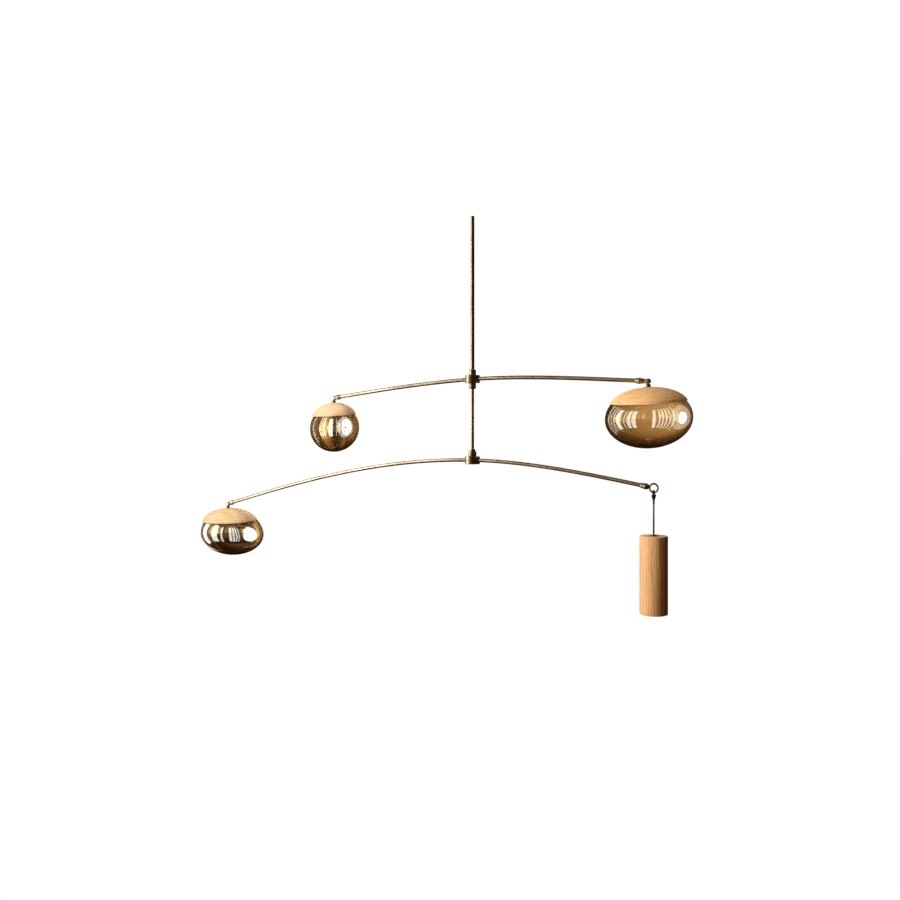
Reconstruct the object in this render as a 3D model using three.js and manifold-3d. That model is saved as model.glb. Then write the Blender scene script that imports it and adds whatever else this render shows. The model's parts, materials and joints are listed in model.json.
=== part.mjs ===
// Hanging mobile with two pairs of bowed brass arms, three glass shades under turned oak
// caps, and an oak cylinder on a ring and hook as the counterweight.
// Millimetres, +Z up. The origin is the middle of the stem's top end, where the mobile hangs.
// +X runs along both pairs of arms towards the counterweight, and the front faces -Y.

import * as THREE from 'three';
import { mergeVertices } from 'three/addons/utils/BufferGeometryUtils.js';
import Module from 'manifold-3d';

const wasm = await Module();
wasm.setup();

// Fits and facets
const CLEARANCE = 0.3;
const WELD_DISTANCE = 1e-4;
const BLEND = 1;
const TUBE_SIDES = 8;
const ARM_STEP = 60;
const TURNED_SIDES = 12;
const SHADE_SIDES = 28;
const BELLY_STEPS = 5;
const CROWN_STEPS = 3;
const CAP_STEPS = 5;
const ROUNDING_STEPS = 3;
const EYE_STEPS = 12;

// Stem and the two hubs on it
const STEM_RADIUS = 6;
const UPPER_AXIS_DEPTH = 505;
const HUB_SPACING = 251;
const DRUM_RADIUS = 23;
const DRUM_HEIGHT = 24.5;
const DRUM_EDGE = 1;
const DRUM_GROOVE = 0.5;
const DRUM_FLOOR = 4;
const COLLAR_RADIUS = 11;
const COLLAR_HEIGHT = 17.5;
const COLLAR_ROUNDING = 4;
const COLLAR_SEAT = 8;
const COLLAR_EDGE = 1;
const ROD_RADIUS = 5;
const ROD_HEAD_RADIUS = 8;
const ROD_HEAD_HEIGHT = 3.5;
const LOWER_COLLAR_RADIUS = 12.5;
const LOWER_COLLAR_HEIGHT = 14.5;
const BUSHING_RADIUS = 9.2;
const BUSHING_HEIGHT = 6.5;

// Arms: outward reach and fall from the hub axis to the far end, with the slope at each end
const UPPER_ARM_RADIUS = 6;
const LOWER_ARM_RADIUS = 5.75;
const ARM_SOCKET = 9;
const UPPER_RIGHT_ARM = { side: 1, reach: 573, fall: 24.5, rootRise: 0.024, endFall: 0.075 };
const UPPER_LEFT_ARM = { side: -1, reach: 580, fall: 46.5, rootRise: -0.032, endFall: 0.108 };
const LOWER_LEFT_ARM = { side: -1, reach: 1126, fall: 190.5, rootRise: 0, endFall: 0.261 };
const LOWER_RIGHT_ARM = { side: 1, reach: 575, fall: 61.5, rootRise: 0, endFall: 0.17 };

// Ferrules on the arm ends
const FERRULE_RADIUS = 9;
const FERRULE_LENGTH = 25;
const FERRULE_SHOULDER = 14.5;
const FERRULE_TIP_RADIUS = 6.3;
const FERRULE_WALL = 0.9;
const FERRULE_SEAT = 12;
const FERRULE_EDGE = 0.5;
const RING_FERRULE_LENGTH = 22.5;
const RING_FERRULE_SHOULDER = 7.5;

// Knuckles between the arms and the shades
const CHEEK_RADIUS = 7.2;
const CHEEK_WIDTH = 5.8;
const CHEEK_EDGE = 1.3;
const CHEEK_GAP = 0.4;
const WEB_WIDTH = 9;
const WEB_THICKNESS = 5;
const PIN_RADIUS = 2.4;
const PIN_HEAD_RADIUS = 3.8;
const PIN_HEAD_HEIGHT = 1.2;
const FLANGE_RADIUS = 5.8;
const FLANGE_THICKNESS = 1.5;
const NECK_RADIUS = 7;
const NECK_BASE_RADIUS = 8.5;
const NECK_BASE_HEIGHT = 1.6;
const NECK_DROP = 16;

// Shades: a blown glass pebble under a turned cap, leaning as it was set
const GLASS_WALL = 3;
const GLASS_TUCK = 6;
const CAP_LIP = 3.2;
const CAP_FULLNESS = 11;
const CAP_SEAT_EDGE = 1;
const RIGHT_SHADE = {
  radius: 118.8, crown: 85.5, belly: 82, equatorDepth: 85.7, capHeight: 40.3,
  rollDegrees: 6.5, leanX: -0.03, leanY: 0,
};
const LEFT_SHADE = {
  radius: 85.7, crown: 86, belly: 82, equatorDepth: 89.7, capHeight: 42.8,
  rollDegrees: 5.5, leanX: -0.04, leanY: 0,
};
const LOWER_SHADE = {
  radius: 117.6, crown: 95, belly: 80.7, equatorDepth: 98.6, capHeight: 47,
  rollDegrees: 2, leanX: 0.092, leanY: 0.105,
};

// Ring, hook and counterweight
const RING_RADIUS = 11.8;
const RING_BAR_RADIUS = 2.7;
const RING_SIDES = 16;
const RING_BAR_SIDES = 8;
const RING_SHANK = 6;
const HOOK_BAR_RADIUS = 2;
const HOOK_EYE_RADIUS = 5.2;
const HOOK_EYE_SPACE = 3;
const HOOK_BODY_RADIUS = 3.9;
const HOOK_BODY_LENGTH = 23;
const HOOK_SHOULDER_RADIUS = 6.8;
const HOOK_SHOULDER_DROP = 2.6;
const HOOK_COLLAR_RADIUS = 3.2;
const HOOK_COLLAR_HEIGHT = 3;
const HANGER_RADIUS = 2.4;
const HANGER_LENGTH = 84.4;
const HANGER_SEAT = 25;
const WASHER_RADIUS = 11.4;
const WASHER_THICKNESS = 1.6;
const COUNTERWEIGHT_RADIUS = 38;
const COUNTERWEIGHT_HEIGHT = 212;
const COUNTERWEIGHT_EDGE = 1.2;

const BRASS = { color: 0x7a6038, roughness: 0.34, metalness: 1 };
const OAK = { color: 0xd9ab72, roughness: 0.6, metalness: 0 };
const AMBER_GLASS = {
  color: 0xb98a45, roughness: 0.05, metalness: 0, transparent: true, opacity: 0.4,
};

const model = new THREE.Group();

// Solids and booleans

// A closed solid for joining and cutting, from any closed geometry.
function toSolid(geometry) {
  const bare = geometry.clone();
  bare.deleteAttribute('normal');
  bare.deleteAttribute('uv');
  const welded = mergeVertices(bare, WELD_DISTANCE);
  return new wasm.Manifold(new wasm.Mesh({
    numProp: 3,
    vertProperties: Float32Array.from(welded.attributes.position.array),
    triVerts: Uint32Array.from(welded.index.array),
  }));
}

// The geometry of a joined or cut solid.
function toGeometry(solid) {
  const { vertProperties, triVerts } = solid.getMesh();
  const geometry = new THREE.BufferGeometry();
  geometry.setAttribute('position', new THREE.BufferAttribute(vertProperties, 3));
  geometry.setIndex(new THREE.BufferAttribute(triVerts, 1));
  geometry.computeVertexNormals();
  return geometry;
}

function addMesh(parent, name, geometry, finish) {
  const mesh = new THREE.Mesh(geometry, new THREE.MeshStandardMaterial(finish));
  mesh.name = name;
  parent.add(mesh);
  return mesh;
}

// A shape turned about +Z. The profile holds [radius, height] pairs, up the outside.
function turned(profile, sides = TURNED_SIDES) {
  const points = profile.map(([radius, height]) => new THREE.Vector2(radius, height));
  return new THREE.LatheGeometry(points, sides).rotateX(Math.PI / 2);
}

function roundBar(radius, low, high, sides = TURNED_SIDES) {
  return turned([[0, low], [radius, low], [radius, high], [0, high]], sides);
}

// A round bar swept along a curve.
function swept(curve, radius, steps, sides = TUBE_SIDES) {
  const section = new THREE.Shape();
  for (let i = 0; i < sides; i += 1) {
    const angle = (2 * Math.PI * (i + 0.5)) / sides;
    const point = [radius * Math.cos(angle), radius * Math.sin(angle)];
    if (i === 0) section.moveTo(...point);
    else section.lineTo(...point);
  }
  section.closePath();
  return new THREE.ExtrudeGeometry(section, { extrudePath: curve, steps, bevelEnabled: false });
}

// Arms

// The centre line of a bowed arm, as a cubic with a set height and slope at both ends.
class ArmCentreLine extends THREE.Curve {
  constructor(arm, from, to) {
    super();
    this.arm = arm;
    this.from = from;
    this.to = to;
  }

  heightAt(distance) {
    const { reach, fall, rootRise, endFall } = this.arm;
    const t = distance / reach;
    const root = rootRise * reach * t * (1 - t) ** 2;
    const end = endFall * reach * t * t * (1 - t);
    return root + end - fall * t * t * (3 - 2 * t);
  }

  getPoint(t, target = new THREE.Vector3()) {
    const distance = this.from + (this.to - this.from) * t;
    return target.set(this.arm.side * distance, 0, this.heightAt(distance));
  }
}

function endAngle(arm) {
  return Math.atan(arm.endFall);
}

// Where the arm's own bar stops, inside its ferrule.
function barEnd(arm, tipDistance, ferruleLength) {
  const hidden = tipDistance + ferruleLength - FERRULE_SEAT;
  return arm.reach - hidden * Math.cos(endAngle(arm));
}

function armBar(arm, radius, tipDistance, ferruleLength) {
  const start = DRUM_RADIUS - ARM_SOCKET;
  const end = barEnd(arm, tipDistance, ferruleLength);
  const steps = Math.ceil((end - start) / ARM_STEP);
  return swept(new ArmCentreLine(arm, start, end), radius, steps);
}

// The hole in the drum that an arm sits in.
function armSocket(arm, radius) {
  const start = DRUM_RADIUS - ARM_SOCKET - CLEARANCE;
  const end = DRUM_RADIUS + ARM_SOCKET;
  return toSolid(swept(new ArmCentreLine(arm, start, end), radius + CLEARANCE, 1));
}

// Hubs

const HALF_DRUM = DRUM_HEIGHT / 2;
const ROD_BORE = ROD_RADIUS + CLEARANCE;

// The outside of a drum from its bottom edge to its top edge, with a groove at mid height.
function drumSide() {
  return [
    [DRUM_RADIUS - DRUM_EDGE, -HALF_DRUM],
    [DRUM_RADIUS, DRUM_EDGE - HALF_DRUM],
    [DRUM_RADIUS, -DRUM_GROOVE],
    [DRUM_RADIUS - DRUM_GROOVE, 0],
    [DRUM_RADIUS, DRUM_GROOVE],
    [DRUM_RADIUS, HALF_DRUM - DRUM_EDGE],
    [DRUM_RADIUS - DRUM_EDGE, HALF_DRUM],
  ];
}

function throughDrum() {
  const bottom = [ROD_BORE, -HALF_DRUM];
  return turned([bottom, ...drumSide(), [ROD_BORE, HALF_DRUM], bottom]);
}

// The lower drum hangs on the rod's head, which turns in a pocket above the floor.
function hangingDrum() {
  const floor = DRUM_FLOOR - HALF_DRUM;
  const pocket = ROD_HEAD_RADIUS + CLEARANCE;
  const ceiling = floor + ROD_HEAD_HEIGHT + 2 * CLEARANCE;
  return turned([
    [0, -HALF_DRUM],
    ...drumSide(),
    [ROD_BORE, HALF_DRUM],
    [ROD_BORE, ceiling],
    [pocket, ceiling],
    [pocket, floor],
    [0, floor],
  ]);
}

function drumWithSockets(drum, arms, radius) {
  let solid = toSolid(drum);
  for (const arm of arms) solid = solid.subtract(armSocket(arm, radius));
  return toGeometry(solid);
}

// A quarter round from the outside of a collar in to its end face, [radius, height] pairs.
function roundedShoulder(radius, height, rounding) {
  const points = [];
  for (let i = 0; i <= ROUNDING_STEPS; i += 1) {
    const angle = (Math.PI / 2) * (i / ROUNDING_STEPS);
    points.push([
      radius - rounding * (1 - Math.cos(angle)),
      height - rounding * (1 - Math.sin(angle)),
    ]);
  }
  return points;
}

// A collar round the rod, with its outside rounded over at the top. The inner profile runs
// from the top edge down to the bore.
function roundedCollar(inner) {
  const bottom = [ROD_BORE, 0];
  const wall = COLLAR_RADIUS - inner[0][0] - COLLAR_EDGE;
  const rounding = Math.min(COLLAR_ROUNDING, wall);
  const outside = roundedShoulder(COLLAR_RADIUS, COLLAR_HEIGHT, rounding);
  return turned([bottom, [COLLAR_RADIUS, 0], ...outside, ...inner, bottom]);
}

function plainCollar(radius, height) {
  const bottom = [ROD_BORE, 0];
  return turned([
    bottom,
    [radius, 0],
    [radius, height - COLLAR_EDGE],
    [radius - COLLAR_EDGE, height],
    [ROD_BORE, height],
    bottom,
  ]);
}

function buildSpine() {
  const upperAxis = -UPPER_AXIS_DEPTH;
  const lowerAxis = upperAxis - HUB_SPACING;
  const topCollarBase = upperAxis + HALF_DRUM + CLEARANCE;
  const bottomCollarTop = upperAxis - HALF_DRUM - CLEARANCE;
  const lowerCollarBase = lowerAxis + HALF_DRUM + CLEARANCE;
  const bushingBase = lowerCollarBase + LOWER_COLLAR_HEIGHT + CLEARANCE;

  const stemEnd = topCollarBase + COLLAR_HEIGHT - COLLAR_SEAT + CLEARANCE;
  addMesh(model, 'stem', roundBar(STEM_RADIUS, stemEnd, 0), BRASS);

  const seat = STEM_RADIUS + CLEARANCE;
  const seatFloor = COLLAR_HEIGHT - COLLAR_SEAT;
  const topCollar = roundedCollar([[seat, COLLAR_HEIGHT], [seat, seatFloor], [ROD_BORE, seatFloor]]);
  addMesh(model, 'upper_hub_top_collar', topCollar, BRASS).position.z = topCollarBase;

  const bottomCollar = roundedCollar([[ROD_BORE, COLLAR_HEIGHT]]);
  const lowCollar = addMesh(model, 'upper_hub_bottom_collar', bottomCollar, BRASS);
  lowCollar.position.z = bottomCollarTop;
  lowCollar.rotation.x = Math.PI;

  const upperArms = [UPPER_RIGHT_ARM, UPPER_LEFT_ARM];
  const upperDrum = drumWithSockets(throughDrum(), upperArms, UPPER_ARM_RADIUS);
  addMesh(model, 'upper_hub_drum', upperDrum, BRASS).position.z = upperAxis;

  const headBase = lowerAxis - HALF_DRUM + DRUM_FLOOR + CLEARANCE;
  const rodTop = stemEnd - 2 * CLEARANCE;
  const dropRod = turned([
    [0, headBase],
    [ROD_HEAD_RADIUS, headBase],
    [ROD_HEAD_RADIUS, headBase + ROD_HEAD_HEIGHT],
    [ROD_RADIUS, headBase + ROD_HEAD_HEIGHT],
    [ROD_RADIUS, rodTop],
    [0, rodTop],
  ]);
  addMesh(model, 'drop_rod', dropRod, BRASS);

  const lowerCollar = plainCollar(LOWER_COLLAR_RADIUS, LOWER_COLLAR_HEIGHT);
  addMesh(model, 'lower_hub_collar', lowerCollar, BRASS).position.z = lowerCollarBase;
  const bushing = plainCollar(BUSHING_RADIUS, BUSHING_HEIGHT);
  addMesh(model, 'lower_hub_bushing', bushing, BRASS).position.z = bushingBase;

  const lowerArms = [LOWER_RIGHT_ARM, LOWER_LEFT_ARM];
  const lowerDrum = drumWithSockets(hangingDrum(), lowerArms, LOWER_ARM_RADIUS);
  addMesh(model, 'lower_hub_drum', lowerDrum, BRASS).position.z = lowerAxis;
  return { upperAxis, lowerAxis };
}

// Arm ends

// A ferrule along +Z from its tip, thickest at its shoulder, with a seat for the arm's bar.
function ferrule(length, shoulder, barRadius, tipBore = 0, tipBoreDepth = 0) {
  const seat = barRadius + CLEARANCE;
  const seatFloor = length - FERRULE_SEAT - CLEARANCE;
  const tip = tipBore > 0
    ? [[0, tipBoreDepth], [tipBore, tipBoreDepth], [tipBore, 0]]
    : [[0, 0]];
  return turned([
    ...tip,
    [FERRULE_TIP_RADIUS - FERRULE_EDGE, 0],
    [FERRULE_TIP_RADIUS, FERRULE_EDGE],
    [FERRULE_RADIUS - FERRULE_EDGE, shoulder - BLEND],
    [FERRULE_RADIUS, shoulder],
    [FERRULE_RADIUS - FERRULE_EDGE, shoulder + BLEND],
    [seat + FERRULE_WALL, length],
    [seat, length],
    [seat, seatFloor],
    [0, seatFloor],
  ]);
}

// One cheek of a knuckle about the hinge axis Y, with a web along +Z out to a round foot.
function cheek(foot, footRadius) {
  const inner = CHEEK_GAP / 2;
  const outer = inner + CHEEK_WIDTH;
  const disc = new THREE.LatheGeometry([
    new THREE.Vector2(0, inner),
    new THREE.Vector2(CHEEK_RADIUS, inner),
    new THREE.Vector2(CHEEK_RADIUS, outer - CHEEK_EDGE),
    new THREE.Vector2(CHEEK_RADIUS - CHEEK_EDGE, outer),
    new THREE.Vector2(0, outer),
  ], TURNED_SIDES);
  const reach = CHEEK_RADIUS + CHEEK_GAP + Math.min(BLEND, footRadius);
  const web = new THREE.BoxGeometry(WEB_WIDTH, WEB_THICKNESS, reach);
  web.translate(0, inner + WEB_THICKNESS / 2, reach / 2);
  return toSolid(disc).add(toSolid(web)).add(toSolid(foot));
}

// A short bar along the hinge axis between two distances from the knuckle's middle.
function hingeBar(radius, from, to) {
  return toSolid(roundBar(radius, from, to, TUBE_SIDES).rotateX(-Math.PI / 2));
}

const KNUCKLE_FOOT = CHEEK_RADIUS + CHEEK_GAP;
const KNUCKLE_LENGTH = KNUCKLE_FOOT + FLANGE_THICKNESS + CLEARANCE;

// The knuckle's half on the arm, with the hinge pin and the pin's head.
function armKnuckle() {
  const flange = roundBar(FLANGE_RADIUS, KNUCKLE_FOOT, KNUCKLE_FOOT + FLANGE_THICKNESS);
  const outer = CHEEK_GAP / 2 + CHEEK_WIDTH;
  const headInner = -outer - CLEARANCE;
  const headOuter = headInner - PIN_HEAD_HEIGHT;
  const pin = hingeBar(PIN_RADIUS, headInner - PIN_HEAD_HEIGHT / 2, outer / 2);
  const head = hingeBar(PIN_HEAD_RADIUS, headOuter, headInner);
  return toGeometry(cheek(flange, FLANGE_RADIUS).add(pin).add(head));
}

// The knuckle's half on the shade, with the neck that stands on the cap.
function shadeNeck() {
  const length = NECK_DROP - CLEARANCE;
  const neck = turned([
    [0, KNUCKLE_FOOT],
    [FLANGE_RADIUS, KNUCKLE_FOOT],
    [NECK_RADIUS, KNUCKLE_FOOT + FLANGE_THICKNESS],
    [NECK_RADIUS, length - NECK_BASE_HEIGHT],
    [NECK_BASE_RADIUS, length - NECK_BASE_HEIGHT / 2],
    [NECK_BASE_RADIUS, length],
    [0, length],
  ]);
  const bore = hingeBar(PIN_RADIUS + CLEARANCE, 0, 2 * CHEEK_WIDTH);
  return toGeometry(cheek(neck, FLANGE_RADIUS).subtract(bore)).rotateX(Math.PI);
}

// A group at an arm's end whose +X points outward along the row.
function armEndGroup(arm, axisHeight) {
  const group = new THREE.Group();
  group.position.set(arm.side * arm.reach, 0, axisHeight - arm.fall);
  if (arm.side < 0) group.rotation.z = Math.PI;
  model.add(group);
  return group;
}

// Turns a piece built along +Z so that it points back along the arm.
function pointAlongArm(mesh, arm, distance) {
  const angle = endAngle(arm);
  mesh.rotation.y = angle - Math.PI / 2;
  mesh.position.set(-distance * Math.cos(angle), 0, distance * Math.sin(angle));
}

function buildShadedArm(place, arm, barRadius, axisHeight, shade) {
  const bar = armBar(arm, barRadius, KNUCKLE_LENGTH, FERRULE_LENGTH);
  addMesh(model, `${place}_arm`, bar, BRASS).position.z = axisHeight;

  const end = armEndGroup(arm, axisHeight);
  const sleeve = ferrule(FERRULE_LENGTH, FERRULE_SHOULDER, barRadius);
  pointAlongArm(addMesh(end, `${place}_ferrule`, sleeve, BRASS), arm, KNUCKLE_LENGTH);

  const rolled = new THREE.Group();
  rolled.rotation.x = arm.side * THREE.MathUtils.degToRad(shade.rollDegrees);
  end.add(rolled);
  pointAlongArm(addMesh(rolled, `${place}_knuckle`, armKnuckle(), BRASS), arm, 0);
  addMesh(rolled, `${place}_shade_neck`, shadeNeck(), BRASS);
  buildShade(place, rolled, arm.side, shade);
}

// Shades

function glassRadiusAt(shade, depth) {
  const above = shade.equatorDepth - depth;
  const half = above > 0 ? shade.crown : shade.belly;
  return shade.radius * Math.sqrt(Math.max(0, 1 - (above / half) ** 2));
}

// One wall face of the glass from its lowest point to its mouth, [radius, height] pairs. The
// belly and the crown meet at the glass's widest level.
function glassFace(shade, wall) {
  const radius = shade.radius - wall;
  const belly = shade.belly - wall;
  const crown = shade.crown - wall;
  const mouthHeight = shade.equatorDepth - shade.capHeight + GLASS_TUCK;
  const mouthAngle = Math.asin(mouthHeight / crown);
  const points = [[0, -belly - shade.equatorDepth]];
  for (let i = 1 - BELLY_STEPS; i <= CROWN_STEPS; i += 1) {
    const angle = i < 0 ? (Math.PI / 2) * (i / BELLY_STEPS) : mouthAngle * (i / CROWN_STEPS);
    const half = i < 0 ? belly : crown;
    points.push([radius * Math.cos(angle), half * Math.sin(angle) - shade.equatorDepth]);
  }
  return points;
}

function glassShell(shade) {
  const outside = glassFace(shade, 0);
  const inside = glassFace(shade, GLASS_WALL);
  return turned([...outside, ...inside.reverse()], SHADE_SIDES);
}

// The turned cap: a dome with a flat seat for the neck and a recess for the glass. The dome
// is part of an ellipse that would be widest a little below the rim.
function capDome(shade) {
  const recess = glassRadiusAt(shade, shade.capHeight) + CLEARANCE;
  const rim = recess + CAP_LIP;
  const base = -shade.capHeight;
  const ceiling = base + GLASS_TUCK + CLEARANCE;
  const halfHeight = shade.capHeight + CAP_FULLNESS;
  const rimAngle = Math.asin(CAP_FULLNESS / halfHeight);
  const halfWidth = rim / Math.cos(rimAngle);
  const seatAngle = Math.acos((NECK_BASE_RADIUS + CAP_SEAT_EDGE) / halfWidth);
  const dome = [];
  for (let i = 0; i <= CAP_STEPS; i += 1) {
    const angle = rimAngle + (seatAngle - rimAngle) * (i / CAP_STEPS);
    dome.push([halfWidth * Math.cos(angle), halfHeight * (Math.sin(angle) - 1)]);
  }
  const seatHeight = dome[CAP_STEPS][1];
  const inside = [[0, ceiling], [recess, ceiling], [recess, base]];
  return turned([...inside, ...dome, [0, seatHeight]], SHADE_SIDES);
}

// Slides each level of a shade sideways in proportion to its depth below the cap's top.
function lean(geometry, shade, side) {
  const slide = new THREE.Matrix4().set(
    1, 0, -side * shade.leanX, 0,
    0, 1, -side * shade.leanY, 0,
    0, 0, 1, 0,
    0, 0, 0, 1,
  );
  return geometry.applyMatrix4(slide);
}

function buildShade(place, parent, side, shade) {
  const pieces = new THREE.Group();
  pieces.position.z = -NECK_DROP;
  parent.add(pieces);
  addMesh(pieces, `${place}_cap`, lean(capDome(shade), shade, side), OAK);
  addMesh(pieces, `${place}_glass`, lean(glassShell(shade), shade, side), AMBER_GLASS);
}

// Ring, hook and counterweight

// The eye of the hook: a bar up one side, over in a half circle and down the other side.
class EyeCurve extends THREE.Curve {
  constructor(radius, legLength) {
    super();
    this.radius = radius;
    this.legLength = legLength;
  }

  getPoint(t, target = new THREE.Vector3()) {
    const arc = Math.PI * this.radius;
    const walked = t * (arc + 2 * this.legLength) - this.legLength;
    if (walked < 0) return target.set(0, -this.radius, walked);
    if (walked > arc) return target.set(0, this.radius, arc - walked);
    const angle = walked / this.radius;
    return target.set(0, -this.radius * Math.cos(angle), this.radius * Math.sin(angle));
  }
}

// The ring stands in the plane of the arm, with a shank along +Z into the ferrule's tip.
function ringWithShank(centreDistance) {
  const ring = new THREE.TorusGeometry(RING_RADIUS, RING_BAR_RADIUS, RING_BAR_SIDES, RING_SIDES);
  ring.rotateX(Math.PI / 2).translate(0, 0, -centreDistance);
  const shank = roundBar(RING_BAR_RADIUS, RING_RADIUS - centreDistance, RING_SHANK, TUBE_SIDES);
  return toGeometry(toSolid(ring).add(toSolid(shank)));
}

// The hook and its hanger in one piece, with the origin at the middle of the eye's half circle.
function hookWithHanger() {
  const ringBottom = HOOK_EYE_RADIUS - HOOK_BAR_RADIUS - CLEARANCE - 2 * RING_BAR_RADIUS;
  const bodyTop = ringBottom - HOOK_EYE_SPACE;
  const bodyEnd = bodyTop - HOOK_BODY_LENGTH;
  const collarEnd = bodyEnd - HOOK_COLLAR_HEIGHT;
  const hangerEnd = collarEnd - HANGER_LENGTH - HANGER_SEAT;
  const legLength = HOOK_EYE_SPACE - bodyTop;
  const eyeCurve = new EyeCurve(HOOK_EYE_RADIUS, legLength);
  const eye = swept(eyeCurve, HOOK_BAR_RADIUS, EYE_STEPS, RING_BAR_SIDES);
  const body = turned([
    [0, hangerEnd],
    [HANGER_RADIUS, hangerEnd],
    [HANGER_RADIUS, collarEnd],
    [HOOK_COLLAR_RADIUS, collarEnd + BLEND],
    [HOOK_COLLAR_RADIUS, bodyEnd - BLEND],
    [HANGER_RADIUS, bodyEnd],
    [HOOK_BODY_RADIUS, bodyTop - HOOK_BODY_LENGTH / 2],
    [HOOK_SHOULDER_RADIUS, bodyTop - HOOK_SHOULDER_DROP],
    [HOOK_SHOULDER_RADIUS - BLEND, bodyTop],
    [0, bodyTop],
  ], TUBE_SIDES);
  return { geometry: toGeometry(toSolid(eye).add(toSolid(body))), collarEnd };
}

function washer() {
  const bore = HANGER_RADIUS + CLEARANCE;
  const bottom = [bore, 0];
  return turned([
    bottom,
    [WASHER_RADIUS, 0],
    [WASHER_RADIUS, WASHER_THICKNESS],
    [bore, WASHER_THICKNESS],
    bottom,
  ]);
}

function oakCylinder() {
  const bore = HANGER_RADIUS + CLEARANCE;
  const edge = COUNTERWEIGHT_EDGE;
  const boreFloor = -HANGER_SEAT - CLEARANCE;
  return turned([
    [0, -COUNTERWEIGHT_HEIGHT],
    [COUNTERWEIGHT_RADIUS - edge, -COUNTERWEIGHT_HEIGHT],
    [COUNTERWEIGHT_RADIUS, edge - COUNTERWEIGHT_HEIGHT],
    [COUNTERWEIGHT_RADIUS, -edge],
    [COUNTERWEIGHT_RADIUS - edge, 0],
    [bore, 0],
    [bore, boreFloor],
    [0, boreFloor],
  ], SHADE_SIDES);
}

function buildCounterweightArm(axisHeight) {
  const arm = LOWER_RIGHT_ARM;
  const bar = armBar(arm, LOWER_ARM_RADIUS, 0, RING_FERRULE_LENGTH);
  addMesh(model, 'lower_right_arm', bar, BRASS).position.z = axisHeight;

  const end = armEndGroup(arm, axisHeight);
  const tipBore = RING_BAR_RADIUS + CLEARANCE;
  const tipDepth = RING_SHANK + CLEARANCE;
  const sleeve = ferrule(RING_FERRULE_LENGTH, RING_FERRULE_SHOULDER, LOWER_ARM_RADIUS, tipBore, tipDepth);
  pointAlongArm(addMesh(end, 'lower_right_ferrule', sleeve, BRASS), arm, 0);

  const centreDistance = RING_RADIUS + RING_BAR_RADIUS + CLEARANCE;
  const ring = addMesh(end, 'counterweight_ring', ringWithShank(centreDistance), BRASS);
  pointAlongArm(ring, arm, 0);

  const angle = endAngle(arm);
  const ringX = arm.reach + centreDistance * Math.cos(angle);
  const ringZ = axisHeight - arm.fall - centreDistance * Math.sin(angle);
  const hook = hookWithHanger();
  const eyeRest = HOOK_BAR_RADIUS + RING_BAR_RADIUS + CLEARANCE - RING_RADIUS;
  const eyeZ = ringZ + eyeRest - HOOK_EYE_RADIUS;
  addMesh(model, 'counterweight_hook', hook.geometry, BRASS).position.set(ringX, 0, eyeZ);

  const washerTop = eyeZ + hook.collarEnd - HANGER_LENGTH;
  const washerBase = washerTop - WASHER_THICKNESS;
  addMesh(model, 'counterweight_washer', washer(), BRASS).position.set(ringX, 0, washerBase);
  const oakTop = washerBase - CLEARANCE;
  addMesh(model, 'counterweight', oakCylinder(), OAK).position.set(ringX, 0, oakTop);
}

const { upperAxis, lowerAxis } = buildSpine();
buildShadedArm('upper_right', UPPER_RIGHT_ARM, UPPER_ARM_RADIUS, upperAxis, RIGHT_SHADE);
buildShadedArm('upper_left', UPPER_LEFT_ARM, UPPER_ARM_RADIUS, upperAxis, LEFT_SHADE);
buildShadedArm('lower_left', LOWER_LEFT_ARM, LOWER_ARM_RADIUS, lowerAxis, LOWER_SHADE);
buildCounterweightArm(lowerAxis);

export default model;
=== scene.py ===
"""Hanging mobile with bowed brass arms, glass shades under oak caps and an oak counterweight.

The finished meshes, their materials, the studio and the camera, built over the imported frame.
Metres, +Z up. The origin is the middle of the stem's top end, +X runs along the arms.
"""

import json
import logging
from dataclasses import dataclass, field
from enum import Enum
from functools import cache
from math import acos, asin, atan, cos, pi, radians, sin, sqrt, tan
from typing import Callable, Sequence

import bmesh
import bpy
from bpy.types import Collection, ID, Material, Mesh, Node, NodeTree, Object, NodeSocket as Socket
from mathutils import Matrix, Vector

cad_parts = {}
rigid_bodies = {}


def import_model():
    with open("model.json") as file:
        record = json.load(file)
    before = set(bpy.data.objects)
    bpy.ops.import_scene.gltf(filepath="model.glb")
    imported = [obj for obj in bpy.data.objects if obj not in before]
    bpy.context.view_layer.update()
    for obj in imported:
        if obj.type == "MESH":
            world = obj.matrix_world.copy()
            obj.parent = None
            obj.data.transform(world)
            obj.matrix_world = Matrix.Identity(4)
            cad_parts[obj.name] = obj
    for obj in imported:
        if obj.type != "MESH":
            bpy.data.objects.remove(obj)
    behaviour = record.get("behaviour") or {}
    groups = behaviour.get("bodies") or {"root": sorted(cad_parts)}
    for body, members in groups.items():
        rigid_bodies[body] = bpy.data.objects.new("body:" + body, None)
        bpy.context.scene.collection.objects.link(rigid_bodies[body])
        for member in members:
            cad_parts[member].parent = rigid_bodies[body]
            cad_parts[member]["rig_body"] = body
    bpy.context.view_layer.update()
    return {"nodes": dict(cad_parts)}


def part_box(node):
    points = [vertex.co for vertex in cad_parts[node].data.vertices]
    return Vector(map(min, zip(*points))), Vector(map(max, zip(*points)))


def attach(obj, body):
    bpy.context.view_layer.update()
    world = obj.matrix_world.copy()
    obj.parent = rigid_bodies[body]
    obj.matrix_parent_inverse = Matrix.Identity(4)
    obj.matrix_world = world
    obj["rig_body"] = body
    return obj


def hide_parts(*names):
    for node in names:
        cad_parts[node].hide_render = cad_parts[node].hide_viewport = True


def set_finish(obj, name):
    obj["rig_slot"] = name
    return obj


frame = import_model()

LOG = logging.getLogger("mobile")

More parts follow.
